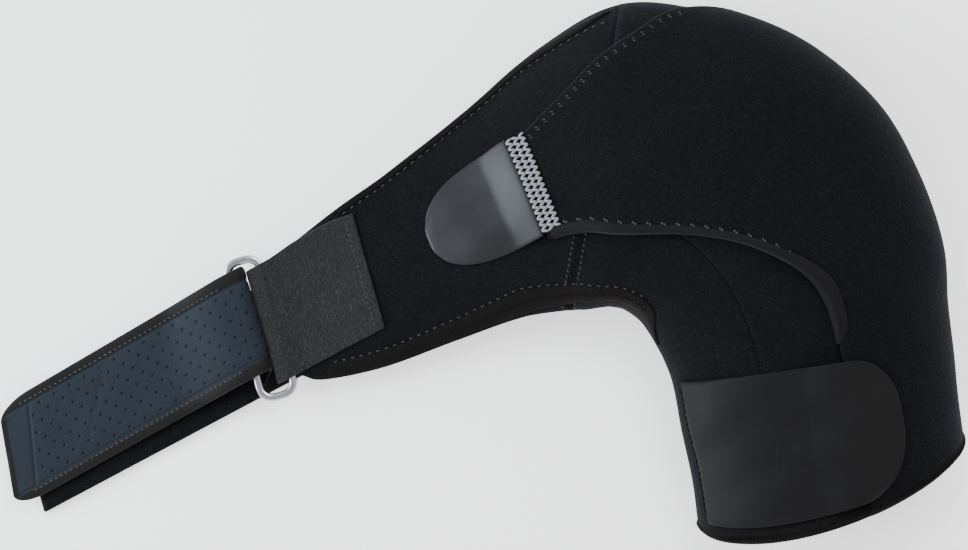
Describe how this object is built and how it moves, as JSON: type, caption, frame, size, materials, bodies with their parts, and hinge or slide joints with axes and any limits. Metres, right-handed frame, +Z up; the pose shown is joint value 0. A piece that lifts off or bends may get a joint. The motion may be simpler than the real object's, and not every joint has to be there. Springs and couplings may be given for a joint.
{
  "type": "cold compression wrap",
  "caption": "One-shoulder neoprene cold compression wrap laid on its back, with hook tabs, a strap through a metal ring and a gel pack in an inner pocket.",
  "frame": {"origin": "on the table under the middle of the wrap's bounding box, with the wrap lying on its back", "axes": "+X from the strap's free end towards the shoulder, +Y towards the neck side, +Z up off the table"},
  "size_m": [0.5732, 0.3195, 0.0835],
  "materials": {
    "loop_fabric": "napped loop face on black foam",
    "binding_fabric": "dull folded binding tape",
    "perforated_foam": "smooth slate skin with small holes",
    "hook_plastic": "satin moulded hook sheet",
    "ribbed_webbing": "fine ribbed elastic",
    "stitch_thread": "grey thread in dense zigzag",
    "plated_metal": "nickel plated wire",
    "lining_mesh": "open knit lining",
    "pack_film": "soft clear film",
    "gel": "translucent blue gel"
  },
  "bodies": {
    "wrap": {"front_sleeve_panel": "loop_fabric", "underarm_gusset": "loop_fabric", "rear_sleeve_panel": "loop_fabric", "chest_panel": "loop_fabric", "back_panel": "loop_fabric", "shoulder_flap": "loop_fabric", "flap_binding": "binding_fabric", "underarm_binding": "binding_fabric", "chest_top_binding": "binding_fabric", "cuff_hem": "binding_fabric", "flap_tab_stitching": "stitch_thread", "keeper_webbing": "ribbed_webbing", "torso_strap": "loop_fabric", "pocket_liner": "lining_mesh", "pocket_mouth_binding": "binding_fabric"},
    "flap_tab": {"flap_hook_tab": "hook_plastic"},
    "cuff_tab": {"cuff_hook_tab": "hook_plastic"},
    "ring": {"strap_ring": "plated_metal"},
    "strap_end": {"strap_free_end": "perforated_foam", "strap_hook_patch": "hook_plastic"},
    "gel_pack": {"gel_filling": "gel", "gel_pack_top_film": "pack_film", "gel_pack_bottom_film": "pack_film"}
  },
  "joints": [
    {"name": "flap_tab_peel", "type": "hinge", "parent": "wrap", "child": "flap_tab", "pos_m": [0.02562, 0.04968, 0.05005], "axis": [-0.3743, 0.9086, -0.1852], "range_deg": [0, 110]},
    {"name": "cuff_tab_peel", "type": "hinge", "parent": "wrap", "child": "cuff_tab", "pos_m": [0.12592, -0.10682, 0.04825], "axis": [0.1938, -0.9809, -0.0184], "range_deg": [0, 100]},
    {"name": "ring_rock", "type": "hinge", "parent": "wrap", "child": "ring", "pos_m": [-0.12135, -0.03082, 0.01395], "axis": [-0.2756, 0.9613, 0], "range_deg": [-5, 5]},
    {"name": "strap_end_peel", "type": "hinge", "parent": "wrap", "child": "strap_end", "pos_m": [-0.14811, -0.03473, 0.02115], "axis": [-0.2756, 0.9613, 0], "range_deg": [0, 110]},
    {"name": "gel_pack_slide", "type": "slide", "parent": "wrap", "child": "gel_pack", "axis": [0.183, -0.9831, 0], "range_m": [0, 0.13]}
  ]
}
